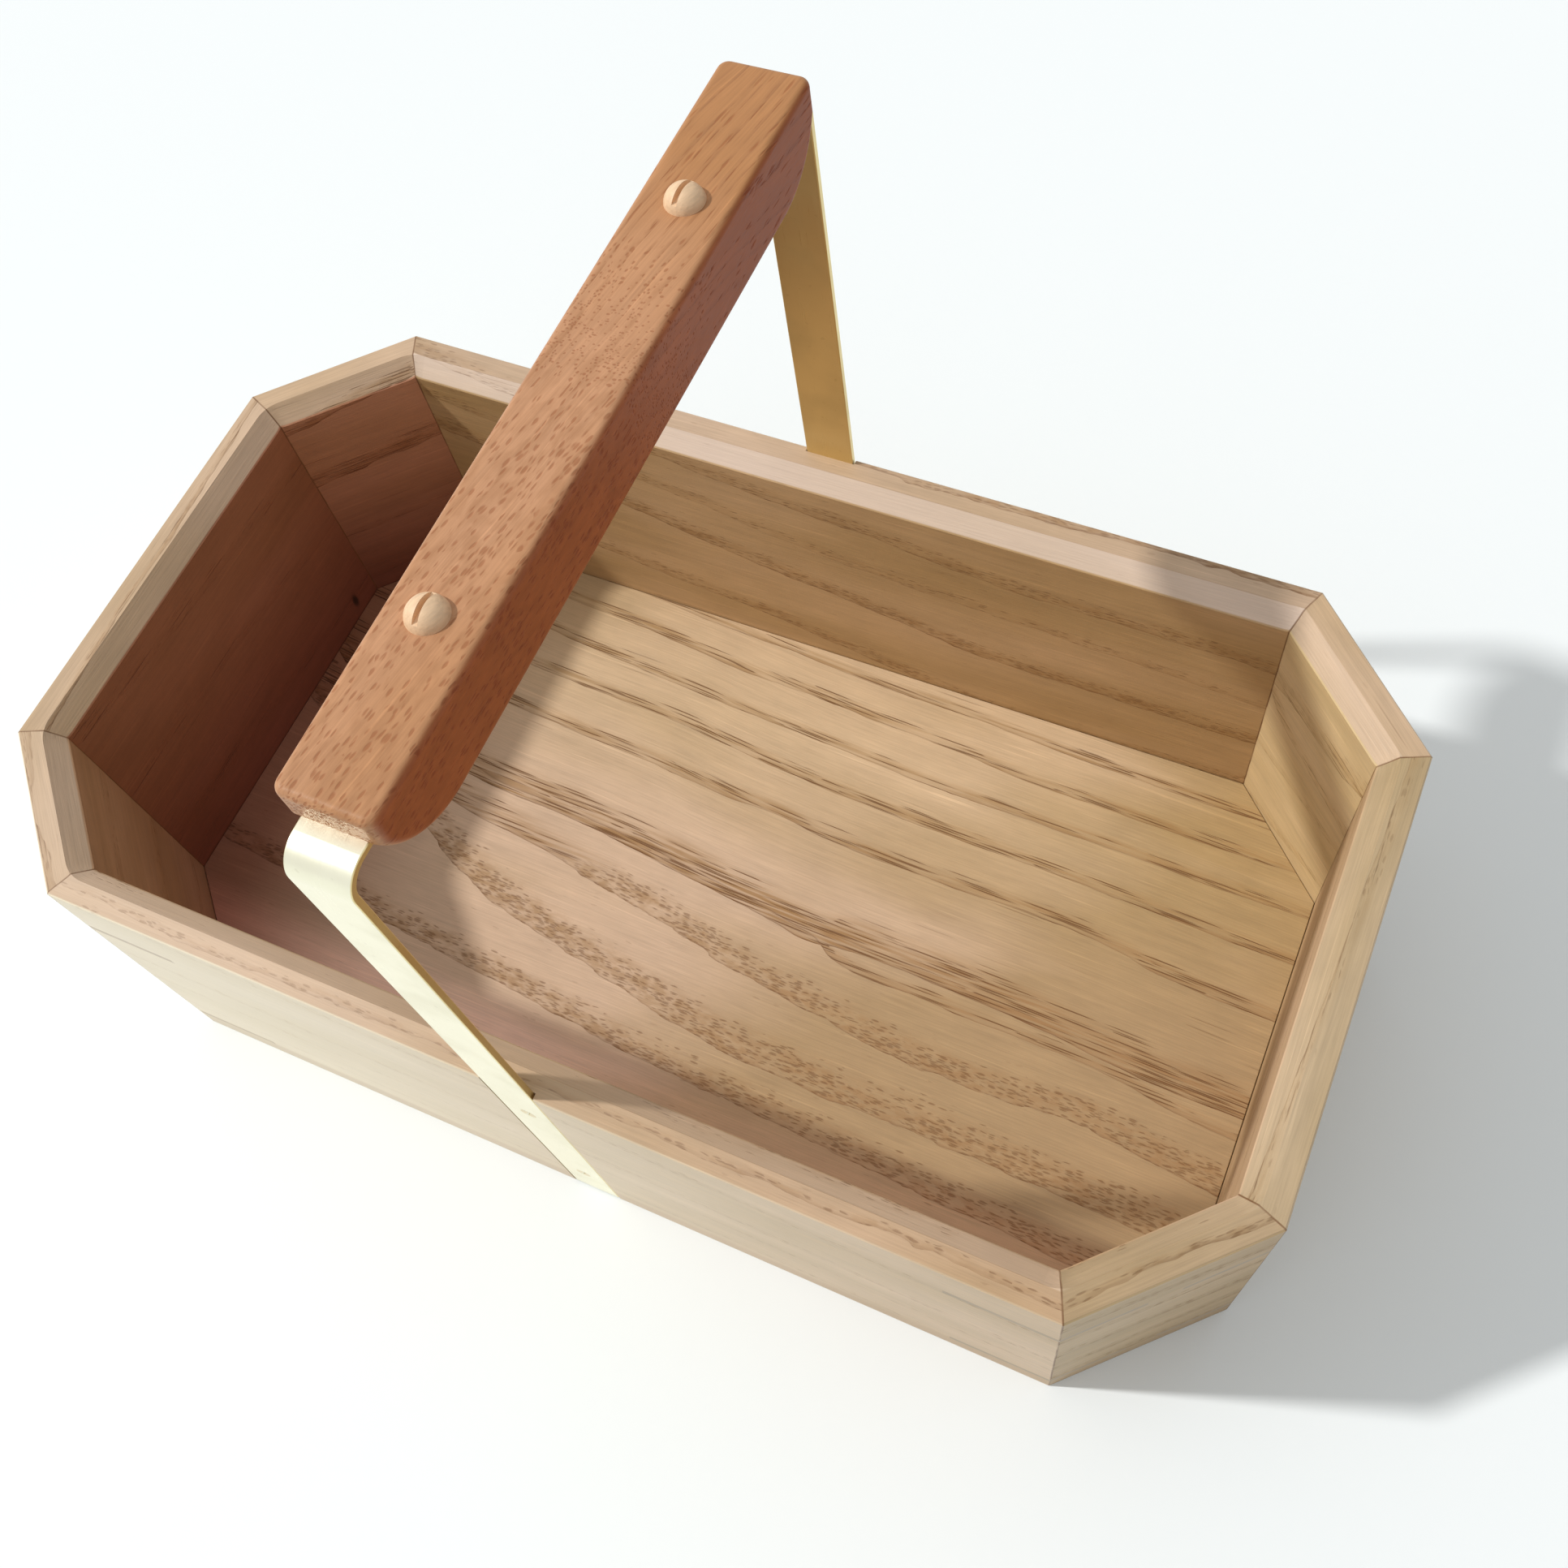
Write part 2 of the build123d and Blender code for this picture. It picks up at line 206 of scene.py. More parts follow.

# The tints that drift over the floor: the way each runs, its fade and its colour. The first is
# painted shade at the left end, where the walls and the grip shade the floor, the second painted
# light that lifts the shadow along the near wall, and the third makes the far half a little lighter
# and greener. A fade is two places or values and how strong something is at each: from none to whole
# where no more is said.
FLOOR_LIGHT_AND_TINTS = (
    ("along", (-180.0, -98.0, 1.0, 0.0), (0.45, 0.27, 0.24)),
    ("across", (-80.0, -64.0, 1.0, 0.0), (1.5, 1.42, 1.6)),
    ("across", (-10.0, 70.0), (1.03, 1.06, 0.96)),
)
# The floor turns yellower and darker towards the right along a slant: partly the wood's own tone, partly
# painted shade where the light falls off
FLOOR_YELLOW_AND_SHADE_SLANT = -0.8
FLOOR_YELLOWING_AND_SHADE = (-20, 160, -0.45, 0.7)

# How far the lines wave on the walls and, for short and long pores, on the floor
WAVE_CELL = (70, 30)
WAVE = 2.4
WALL_RIPPLE_CELL = (12, 5)
WALL_RIPPLE = 3.2
FLOOR_RIPPLE_CELL = (12, 4)
FLOOR_RIPPLES = (3.0, 1.2)

# The width and height of the sheet that the lines are drawn on
LINE_SPAN = 480.0

# Where a wall's outer face ends, its bevel starts and its inner face starts, in depth
WALL_DEPTH = 13.0
BEVEL_START = 7.2
OUTER_FADE = (0.15, 0.6, 1.0, 0.0)
BEVEL_FADE = (BEVEL_START, BEVEL_START + 0.3)
INNER_FADE = (WALL_DEPTH - 0.6, WALL_DEPTH - 0.2)

# How high the painted shade at the foot of an inner face reaches, and the painted shade on the outer faces'
# lower edge, where they meet the floor
FOOT_SHADE_FADE = (5.0, 115.0)
LOWER_EDGE_SHADE_FADE = (8.0, 14.0, 0.22, 0.0)

# The heart of the knot
KNOT = (0.02, 0.008, 0.006)
KNOT_HALF_SIZE = (1.5, 3.5)
KNOT_FADE = (0.4, 1.4, 0.9, 0.0)

# The line of glue in a mitre, by the distance from it, and how unevenly it shows
GLUE_FADE = (0.12, 0.4, 1.0, 0.0)
GLUE_CELL = (9, 9)
GLUE_STRENGTH = (0.3, 0.6, 0.35, 0.85)

# How much of the grain still shows where the wood is paler
RIM_GRAIN = 0.5
OUTSIDE_GRAIN = 0.4

# How glossy the boards are, and how strongly all grain shows in the light
WOOD_GLOSS = 0.3
GRAIN_RELIEF = 0.6

# The grip from its near end to its far end: where the change lies, the pores' length at the far
# end, and at both ends the width and strength of the pore rows and the share of pores between them
GRIP_FAR_FADE = (0.0, 55.0)
GRIP_FAR_PORE_LENGTH = 7.0
GRIP_ROW_WIDTHS = (3.2, 1.3)
GRIP_ROW_STRENGTHS = (0.7, 0.95)
GRIP_FLECKS = (0.5, 0.1)

# The rows' slope along the grip and down its sides, how they bend, and their spacing
GRIP_SLOPE_ALONG = 0.17
GRIP_SLOPE_DOWN = 0.5
GRIP_BEND_CELL = (60, 14)
GRIP_BEND = 5.0
GRIP_ROW_SPACING = 3.3
GRIP_FIRST_ROW = -200.0
ROW_DRIFT = 1.4
ROW_DRIFT_RATE = 0.45
GRIP_SHIFT = (300, 170, 90)

# The grip's gloss, its yellower far end, and its right side, away from the main lamp, which painted shade
# makes darker and redder than its top
GRIP_GLOSS = 0.2
GRIP_YELLOWING = (-10.0, 90.0, -0.3, 0.5)
GRIP_SIDE_PAINTED_SHADE = (0.66, 0.33, 0.17)
GRIP_SIDE_FADE_WIDTH = 1.4

# The close grain of keys and turned screws: its mottle, its light and roughness, and its depth in metres
PLAIN_MOTTLE_CELL = (6, 6)
PLAIN_MOTTLE_LIGHT = 0.26
PLAIN_STREAK_LIGHT = 0.5
PLAIN_ROUGHNESS = 0.52
PLAIN_STREAK_ROUGHNESS = 0.2
PLAIN_DEPTH = 0.00012
KEY_GRAIN_TURN = 0.3
KEY_GRAIN_CELL = (20, 0.8)
SCREW_GRAIN_TURN = 1.2
SCREW_GRAIN_CELL = (12, 0.7)

# The strap's bends: their middles' distance from the middle plane, their height and their radii
BEND_MIDDLE = (105.0, 254.5)
BEND_RADII = (5.5, 7.5)
STRAP_HALF_WIDTH = 8.0
PALE_FACE_FADE = (BEND_RADII[0] + 0.4, BEND_RADII[1] - 0.3)
STRAP_EDGE_FADE = (STRAP_HALF_WIDTH - 0.35, STRAP_HALF_WIDTH - 0.05, 1.0, 0.0)

# The brass's brushed lines, with their depth in metres, and its tarnish and spots
BRUSH_CELL = (60.0, 0.16)
BRUSH_DEPTH = 0.00002
BRUSH_ROUGHNESS = 0.16
TARNISH_CELL = (22, 22)
TARNISH_FADE = (0.42, 0.72)
TARNISH_STRENGTH = 0.35
TARNISH_ROUGHNESS = 0.08
SPOT_CELL = (2.4, 2.4)
SPOT_FADE = (0.66, 0.74)
SPOT_STRENGTH = 0.3
DULLED = (0.74, 0.72, 0.68)

# The stage: the floor's half size in metres and its roughness, the colour of the soft light, the
# width of the camera's frame in millimetres, and the nearest that it sees in metres
STAGE_HALF_SIZE = 3.0
STAGE_ROUGHNESS = 0.6
SOFT_LIGHT = (0.95, 0.975, 1.0)
FRAME_WIDTH = 36.0
NEAREST_SEEN = 0.01

# Where a Mix node keeps its two numbers, its two colours and the mixed colour
MIX_NUMBERS = (2, 3)
MIX_COLOURS = (6, 7)
MIXED_COLOUR = 2

# A dot and a band of pores are whole up to the first share of their size and gone at the second
DOT_SHARES = (0.45, 1.0)
BAND_SHARES = (0.45, 1.15)

# How softly a cell of the pores' texture goes from empty to full
CHANCE_SOFTNESS = 0.04


class Sheet:
    """The nodes of one material or node group."""

    def __init__(self, tree):
        self.tree = tree

    def add(self, kind, **settings):
        node = self.tree.nodes.new(kind)
        for name, value in settings.items():
            setattr(node, name, value)
        return node

    def put(self, socket, value):
        """Link a socket to another, or give it a plain value."""
        if isinstance(value, bpy.types.NodeSocket):
            self.tree.links.new(value, socket)
        else:
            socket.default_value = value

    def math(self, operation, *values, clamp=False):
        node = self.add("ShaderNodeMath", operation=operation, use_clamp=clamp)
        for socket, value in zip(node.inputs, values):
            self.put(socket, value)
        return node.outputs[0]

    def vector(self, operation, *values):
        node = self.add("ShaderNodeVectorMath", operation=operation)
        for socket, value in zip(node.inputs, values):
            self.put(socket, value)
        return node.outputs["Value" if operation == "LENGTH" else "Vector"]

    def split(self, vector):
        node = self.add("ShaderNodeSeparateXYZ")
        self.put(node.inputs[0], vector)
        return node.outputs

    def join(self, along, across, deep):
        node = self.add("ShaderNodeCombineXYZ")
        for socket, value in zip(node.inputs, (along, across, deep)):
            self.put(socket, value)
        return node.outputs[0]

    def smooth(self, value, low, high, start=0.0, end=1.0):
        """From start to end as the value goes from low to high, easing at both ends."""
        node = self.add("ShaderNodeMapRange", interpolation_type="SMOOTHSTEP")
        for socket, number in zip(node.inputs, (value, low, high, start, end)):
            self.put(socket, number)
        return node.outputs[0]

    def blend(self, factor, first, second):
        """A colour between two others."""
        node = self.add("ShaderNodeMix", data_type="RGBA")
        self.put(node.inputs[0], factor)
        for index, value in zip(MIX_COLOURS, (first, second)):
            self.put(node.inputs[index], value)
        return node.outputs[MIXED_COLOUR]

    def between(self, factor, first, second):
        """A number between two others."""
        node = self.add("ShaderNodeMix", data_type="FLOAT")
        self.put(node.inputs[0], factor)
        for index, value in zip(MIX_NUMBERS, (first, second)):
            self.put(node.inputs[index], value)
        return node.outputs[0]

    def tinted(self, factor, wood, tint):
        """A colour that is multiplied by a tint, as far as the factor says."""
        return self.blend(factor, wood, self.vector("MULTIPLY", wood, tint))

    def lit(self, wood, light):
        """A colour made lighter or darker by a number."""
        node = self.add("ShaderNodeVectorMath", operation="SCALE")
        self.put(node.inputs[0], wood)
        self.put(node.inputs["Scale"], light)
        return node.outputs[0]

    def sway(self, value, swing, middle):
        """A number that moves up and down about its middle, as a noise does about a half."""
        return self.math("MULTIPLY_ADD", self.math("SUBTRACT", value, 0.5), swing, middle)

    def noise(self, place, length, width, detail=2.0, roughness=0.5):
        """A noise from 0 to 1, whose cells are so long and so wide."""
        node = self.add("ShaderNodeTexNoise")
        self.put(node.inputs["Vector"], self.vector("DIVIDE", place, (length, width, width)))
        node.inputs["Scale"].default_value = 1.0
        node.inputs["Detail"].default_value = detail
        node.inputs["Roughness"].default_value = roughness
        return node.outputs[0]

    def pores(self, place, size, share, radius):
        """Separate long dots: one in each cell of a texture, in as many cells as the share says."""
        node = self.add("ShaderNodeTexVoronoi")
        self.put(node.inputs["Vector"], self.vector("DIVIDE", place, size))
        node.inputs["Scale"].default_value = 1.0
        chance = self.split(node.outputs["Color"])[0]
        chance = self.math("SUBTRACT", chance, share)
        here = self.smooth(chance, -CHANCE_SOFTNESS, CHANCE_SOFTNESS, 1.0, 0.0)
        whole, gone = (radius * part for part in DOT_SHARES)
        dot = self.smooth(node.outputs["Distance"], whole, gone, 1.0, 0.0)
        return self.math("MULTIPLY", dot, here)

    def drawn(self, along, points):
        """The height of a line drawn through some points, at each distance along it."""
        node = self.add("ShaderNodeFloatCurve")
        self.put(node.inputs["Value"], self.math("MULTIPLY_ADD", along, 1 / LINE_SPAN, 0.5))
        stroke = node.mapping.curves[0]
        for index, (distance, height) in enumerate(points):
            place = (distance / LINE_SPAN + 0.5, height / LINE_SPAN + 0.5)
            if index < 2:
                stroke.points[index].location = place
            else:
                stroke.points.new(*place)
        node.mapping.update()
        return self.math("MULTIPLY_ADD", node.outputs[0], LINE_SPAN, -LINE_SPAN / 2)

    def rings(self, along, height, lines):
        """How far a point lies past the last ring's line, and how full of pores it is there."""
        since = LINE_SPAN
        share = 0.0
        for reach, strength, points in lines:
            past = self.math("SUBTRACT", height, self.drawn(along, points))
            past = self.math("WRAP", past, LINE_SPAN, 0.0)
            since = self.math("MINIMUM", past, since)
            whole, gone = (reach * part for part in BAND_SHARES)
            share = self.math("MAXIMUM", self.smooth(past, whole, gone, strength, 0.0), share)
        return since, share


def colour(value):
    """A colour property as a socket takes it."""
    return (*value, 1.0)


def new_sheet(name):
    """A new material with its shader, ready for its colours."""
    material = bpy.data.materials.new(name)
    material.use_nodes = True
    sheet = Sheet(material.node_tree)
    shader = material.node_tree.nodes["Principled BSDF"]
    return material, sheet, shader


def finish_node(node_name, material):
    """Give a part of the trug its material."""
    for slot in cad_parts[node_name].material_slots:
        slot.material = material


def local_place(sheet, centre, turn):
    """The surface point in millimetres, seen from a centre with its first axis turned."""
    mapping = sheet.add("ShaderNodeMapping", vector_type="TEXTURE")
    sheet.put(mapping.inputs["Vector"], sheet.add("ShaderNodeTexCoord").outputs["Object"])
    mapping.inputs["Location"].default_value = centre
    mapping.inputs["Rotation"].default_value = (0, 0, turn)
    mapping.inputs["Scale"].default_value = (MILLIMETRE, MILLIMETRE, MILLIMETRE)
    return mapping.outputs[0]


GROUP_NAME = "Ring-porous wood"
GROUP_INPUTS = {
    "NodeSocketVector": ("Place",),
    "NodeSocketFloat": ("Since", "Share", "Short Pores", "Yellowing", "Pore Length", "Pore Width"),
    "NodeSocketColor": ("Late Wood", "Warm Wood", "Early Wood", "Pores"),
}
GROUP_OUTPUTS = {
    "NodeSocketColor": ("Colour",),
    "NodeSocketFloat": ("Roughness", "Height"),
}

# The wood's patches, streaks and fibres, as length and width in millimetres, with how far they
# lighten and darken it
TONE_CELL = (120, 34)
TONE_FADE = (0.15, 0.85)
MOTTLE_CELL = (18, 10)
MOTTLE_LIGHT = 0.24
STREAK_CELL = (110, 2.6)
STREAK_LIGHT = 0.34
FIBRE_CELL = (16, 0.5)
FIBRE_LIGHT = 0.3
# The glints are painted highlights along the grain
GLINT_CELL = (40, 0.8)
GLINT_FADE = (0.66, 0.76)
GLINT_LIGHT = 0.15

# Where the pores crowd, and how far the short ones wander from straight
CLUMP_CELL = (24, 6)
CLUMP_FADE = (0.36, 0.6, 0.62, 1.0)
WANDER_CELL = (9, 2.2)
WANDER = 1.6

# The pores: the cells of the long ones, both kinds' radii in their cells, and how dark they are
VESSEL_CELL = (24, 0.6, 0.6)
VESSEL_RADIUS = 0.5
SHORT_PORE_RADIUS = 0.56
SHORT_PORE_STRENGTH = 0.64
PORE_STRENGTH = 0.82

# The early wood between the pores, smudged, and the thin line at the start of a ring
SHORT_SMUDGE_CELL = (6, 2.6)
LONG_SMUDGE_CELL = (30, 1.1)
SMUDGE_FADE = (0.38, 0.62, 0.3, 1.0)
EARLY_STRENGTH = 0.78
RING_LINE_WIDTH = 0.9
RING_LINE_STRENGTH = 0.4

# The roughness, and the heights as shares of the pores' depth
WOOD_ROUGHNESS = 0.46
FIBRE_ROUGHNESS = 0.16
PORE_ROUGHNESS = 0.25
STREAK_HEIGHT = 0.5
FIBRE_HEIGHT = 0.3
RING_LINE_HEIGHT = -0.6


def pore_dots(sheet, given, share):
    """Short pores where the grain runs out of the face, long open ones where it runs along it."""
    place = given["Place"]
    wander = sheet.sway(sheet.noise(place, *WANDER_CELL, detail=1.0), WANDER, 0.0)
    bent = sheet.vector("ADD", place, sheet.join(0.0, wander, wander))
    short_size = sheet.join(given["Pore Length"], given["Pore Width"], given["Pore Width"])
    short = sheet.pores(bent, short_size, share, SHORT_PORE_RADIUS)
    short = sheet.math("MULTIPLY", short, SHORT_PORE_STRENGTH)
    vessel = sheet.pores(place, VESSEL_CELL, share, VESSEL_RADIUS)
    return sheet.between(given["Short Pores"], vessel, short)


def ground_colour(sheet, given, streak, fibre):
    """The wood between the pores, with painted glints of light where the plane has lifted a fibre."""
    place = given["Place"]
    tone = sheet.smooth(sheet.noise(place, *TONE_CELL), *TONE_FADE)
    tone = sheet.math("ADD", tone, given["Yellowing"], clamp=True)
    mottle = sheet.noise(place, *MOTTLE_CELL, detail=3.0, roughness=0.6)
    glint = sheet.smooth(sheet.noise(place, *GLINT_CELL, detail=1.0), *GLINT_FADE)
    light = sheet.sway(streak, STREAK_LIGHT, 1.0)
    light = sheet.sway(fibre, FIBRE_LIGHT, light)
    light = sheet.sway(mottle, MOTTLE_LIGHT, light)
    light = sheet.math("MULTIPLY_ADD", glint, GLINT_LIGHT, light)
    return sheet.lit(sheet.blend(tone, given["Late Wood"], given["Warm Wood"]), light)


def early_wood(sheet, given, share):
    """How much early wood shows: it follows the pores, smudged."""
    place = given["Place"]
    smudge = sheet.between(
        given["Short Pores"],
        sheet.noise(place, *LONG_SMUDGE_CELL),
        sheet.noise(place, *SHORT_SMUDGE_CELL),
    )
    smudge = sheet.smooth(smudge, *SMUDGE_FADE)
    return sheet.math("MULTIPLY", sheet.math("MULTIPLY", share, smudge), EARLY_STRENGTH)


def ring_porous_group():
    """Wood whose pores stand in rows at the start of each year's ring."""
    if GROUP_NAME in bpy.data.node_groups:
        return bpy.data.node_groups[GROUP_NAME]
    tree = bpy.data.node_groups.new(GROUP_NAME, "ShaderNodeTree")
    for direction, sockets in (("INPUT", GROUP_INPUTS), ("OUTPUT", GROUP_OUTPUTS)):
        for kind, names in sockets.items():
            for name in names:
                tree.interface.new_socket(name, in_out=direction, socket_type=kind)
    sheet = Sheet(tree)
    given = sheet.add("NodeGroupInput").outputs
    result = sheet.add("NodeGroupOutput").inputs

    place = given["Place"]
    streak = sheet.noise(place, *STREAK_CELL, detail=4.0, roughness=0.7)
    fibre = sheet.noise(place, *FIBRE_CELL, detail=1.0)
    clump = sheet.smooth(sheet.noise(place, *CLUMP_CELL), *CLUMP_FADE)
    share = sheet.math("MULTIPLY", given["Share"], clump)
    line = sheet.smooth(given["Since"], 0.0, RING_LINE_WIDTH, 1.0, 0.0)
    line = sheet.math("MULTIPLY", line, share)
    pores = pore_dots(sheet, given, share)

    wood = ground_colour(sheet, given, streak, fibre)
    wood = sheet.blend(early_wood(sheet, given, share), wood, given["Early Wood"])
    wood = sheet.blend(sheet.math("MULTIPLY", line, RING_LINE_STRENGTH), wood, given["Pores"])
    wood = sheet.blend(sheet.math("MULTIPLY", pores, PORE_STRENGTH), wood, given["Pores"])

    rough = sheet.sway(fibre, FIBRE_ROUGHNESS, WOOD_ROUGHNESS)
    rough = sheet.math("MULTIPLY_ADD", pores, PORE_ROUGHNESS, rough)
    height = sheet.math("MULTIPLY_ADD", streak, STREAK_HEIGHT, sheet.math("MULTIPLY", pores, -1.0))
    height = sheet.math("MULTIPLY_ADD", fibre, FIBRE_HEIGHT, height)
    height = sheet.math("MULTIPLY_ADD", line, RING_LINE_HEIGHT, height)
    sheet.put(result["Colour"], wood)
    sheet.put(result["Roughness"], rough)
    sheet.put(result["Height"], height)
    return tree


def colour_setting(name, description, default):
    """A colour that a user can change."""
    return bpy.props.FloatVectorProperty(
        name=name, description=description, subtype="COLOR", min=0.0, max=1.0, default=default,
    )


def length_setting(name, description, default, **limits):
    """A length in metres that a user can change."""
    return bpy.props.FloatProperty(
        name=name, description=description, subtype="DISTANCE", unit="LENGTH", default=default, **limits,
    )


class TrayWoodSettings(bpy.types.PropertyGroup):
    """The pale ring-porous wood of the boards."""

    late: colour_setting("Late wood", "The smooth wood between the pore rows", (0.62, 0.43, 0.285))
    warm: colour_setting("Warm patches", "The yellower patches of the same wood", (0.44, 0.29, 0.148))
    early: colour_setting("Early wood", "The darker band at the start of each ring", (0.37, 0.205, 0.085))
    pores: colour_setting("Pores", "The bottom of the open pores", (0.155, 0.062, 0.018))
    # The bevel and outside colours are the paler wood that painted sheen and painted light turn the rim and
    # outer faces to
    bevel: colour_setting("Bevel", "The paler bevel of the rim", (0.80, 0.62, 0.48))
    outside: colour_setting(
        "Sheened outside", "The paler outer faces of the wall boards", (0.86, 0.73, 0.53),
    )
    pore_length: length_setting("Pore length", "Length of one open pore", 0.0036, min=0.0005, max=0.05)
    pore_width: length_setting("Pore width", "Width of one open pore", 0.00062, min=0.0001, max=0.01)
    pore_depth: length_setting(
        "Pore depth", "How deep the pores read in the light", 0.00025, min=0.0, max=0.002,
    )


class GripWoodSettings(bpy.types.PropertyGroup):
    """The red-brown wood of the grip."""

    late: colour_setting("Ground colour", "The wood between the pores", (0.565, 0.293, 0.155))
    warm: colour_setting("Warm streaks", "The redder streaks of the same wood", (0.46, 0.215, 0.085))
    early: colour_setting("Ring colour", "The darker lines of the rings", (0.33, 0.145, 0.06))
    pores: colour_setting("Pores", "The bottom of the open pores", (0.29, 0.09, 0.03))
    pore_length: length_setting("Pore length", "Length of one open pore", 0.003, min=0.0005, max=0.05)
    pore_width: length_setting("Pore width", "Width of one open pore", 0.00085, min=0.0001, max=0.01)
    pore_depth: length_setting(
        "Pore depth", "How deep the pores read in the light", 0.00015, min=0.0, max=0.002,
    )


class SmallPartSettings(bpy.types.PropertyGroup):
    """The brass, the key wood and the wood of the round-head screws."""

    brass: colour_setting("Brass", "The colour that the strap gives to what it mirrors", (0.95, 0.91, 0.71))
    brass_inside: colour_setting(
        "Darker brass", "The same brass on the strap's inner faces and edges", (0.76, 0.62, 0.30),
    )
    screw_brass: colour_setting(
        "Screw brass", "The duller brass of the screws that hold the strap", (0.80, 0.68, 0.42),
    )
    brass_roughness: bpy.props.FloatProperty(
        name="Brass roughness", description="How matt the brushed brass is",
        subtype="FACTOR", min=0.0, max=1.0, default=0.3,
    )
    key_wood: colour_setting("Key wood", "The slips let in across the mitres", (0.40, 0.30, 0.20))
    # The paler keys carry painted sheen and painted light, as the outer faces around them do
    sheened_key: colour_setting(
        "Sheened keys", "The same slips where the outside is weathered pale", (0.64, 0.52, 0.37),
    )
    screw_wood: colour_setting(
        "Screw wood", "The pale wood of the grip's round-head screws", (0.80, 0.545, 0.33),
    )


class StageSettings(bpy.types.PropertyGroup):
    """The camera, the floor and the lamps."""

    camera_place: bpy.props.FloatVectorProperty(
        name="Camera place", description="Where the camera stands",
        subtype="TRANSLATION", unit="LENGTH", default=(0.1643, -0.1780, 0.5386),
    )
    camera_target: bpy.props.FloatVectorProperty(
        name="Camera target", description="The point on the floor that the camera looks at",
        subtype="TRANSLATION", unit="LENGTH", default=(-0.0030, 0.0478, 0.0),
    )
    camera_roll: bpy.props.FloatProperty(
        name="Camera roll", description="How far the camera leans clockwise",
        subtype="ANGLE", default=math.radians(14.171),
    )
    lens: bpy.props.FloatProperty(
        name="Lens", description="Focal length on a 36 mm wide frame",
        unit="CAMERA", min=10.0, max=200.0, default=37.69,
    )
    key_direction: bpy.props.FloatVectorProperty(
        name="Main lamp direction", description="From the tray towards the main lamp",
        subtype="XYZ", default=(-0.912, -0.317, 1.0),
    )
    key_strength: bpy.props.FloatProperty(
        name="Main lamp strength", description="Strength of the main lamp",
        min=0.0, default=2.2,
    )
    key_width: bpy.props.FloatProperty(
        name="Main lamp width", description="How wide the main lamp looks from the tray",
        subtype="ANGLE", min=0.0, default=math.radians(3.0),
    )
    sky_level: bpy.props.FloatProperty(
        name="Light at the horizon", description="Strength of the soft light from all sides",
        min=0.0, default=0.23,
    )
    sky_side: bpy.props.FloatProperty(
        name="Light from the left", description="How much stronger it is on the left and weaker on the right",
        min=0.0, default=0.15,
    )
    sky_overhead: bpy.props.FloatProperty(
        name="Light from overhead", description="How much stronger the soft light is overhead",
        min=0.0, default=0.62,
    )
    backdrop: bpy.props.FloatProperty(
        name="Backdrop", description="Brightness of the backdrop that shows behind the trug",
        min=0.0, max=1.0, default=0.9,
    )
    floor: colour_setting("Floor", "Colour of the floor under the trug", (0.845, 0.87, 0.86))


def wall_layout(index):
    """A wall board's outer middle, its half length and its turn, from the side and end boards."""
    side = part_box("side_board_far")[1]
    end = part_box("end_board_right")[1]
    turn = index * EIGHTH_TURN
    outward = Matrix.Rotation(turn, 3, "Z") @ Vector((0, -1, 0))
    if WALL_BOARDS[index].startswith("side"):
        return Vector((0, outward.y * side.y, 0)), side.x, turn
    if WALL_BOARDS[index].startswith("end"):
        return Vector((outward.x * end.x, 0, 0)), end.y, turn
    middle_x = math.copysign((side.x + end.x) / 2, outward.x)
    middle_y = math.copysign((side.y + end.y) / 2, outward.y)
    half = math.hypot(end.x - side.x, side.y - end.y) / 2
    return Vector((middle_x, middle_y, 0)), half, turn


def pour_wood(sheet, shader, settings, given):
    """Give a shader the ring-porous wood in its settings' colours, and return its colour."""
    wood = sheet.add("ShaderNodeGroup", node_tree=ring_porous_group())
    for name, value in (
        ("Late Wood", settings.late),
        ("Warm Wood", settings.warm),
        ("Early Wood", settings.early),
        ("Pores", settings.pores),
    ):
        wood.inputs[name].default_value = colour(value)
    wood.inputs["Pore Length"].default_value = settings.pore_length / MILLIMETRE
    wood.inputs["Pore Width"].default_value = settings.pore_width / MILLIMETRE
    for name, value in given.items():
        sheet.put(wood.inputs[name], value)
    sheet.put(shader.inputs["Roughness"], wood.outputs["Roughness"])
    raise_surface(sheet, shader, wood.outputs["Height"], settings.pore_depth)
    return wood.outputs["Colour"]


def paler(sheet, factor, wood, pale, late, grain):
    """Turn the wood paler by a factor, with some of its grain still showing."""
    lift = [new / old for new, old in zip(pale, late)]
    grained = sheet.vector("MULTIPLY", wood, lift)
    return sheet.blend(factor, wood, sheet.blend(grain, colour(pale), grained))


def raise_surface(sheet, shader, height, depth):
    """Let the grain's height show in the light."""
    bump = sheet.add("ShaderNodeBump")
    bump.inputs["Strength"].default_value = GRAIN_RELIEF
    bump.inputs["Distance"].default_value = depth
    sheet.put(bump.inputs["Height"], height)
    sheet.put(shader.inputs["Normal"], bump.outputs[0])


def since_last_row(sheet, height):
    """How far a height on the grip lies past its last row of pores, with rows unevenly spaced."""
    count = sheet.math("DIVIDE", sheet.math("SUBTRACT", height, GRIP_FIRST_ROW), GRIP_ROW_SPACING)
    drift = sheet.add("ShaderNodeTexNoise", noise_dimensions="1D")
    sheet.put(drift.inputs["W"], sheet.math("MULTIPLY", count, ROW_DRIFT_RATE))
    drift.inputs["Scale"].default_value = 1.0
    drift.inputs["Detail"].default_value = 0.0
    count = sheet.math("MULTIPLY_ADD", drift.outputs[0], ROW_DRIFT, count)
    return sheet.math("MULTIPLY", sheet.math("FRACT", count), GRIP_ROW_SPACING)


def rippled(sheet, place, height, ripple_cell, ripple):
    """A height that waves a little along the grain, so that no line is drawn too straight."""
    height = sheet.sway(sheet.noise(place, *WAVE_CELL, detail=1.0), WAVE, height)
    return sheet.sway(sheet.noise(place, *ripple_cell), ripple, height)


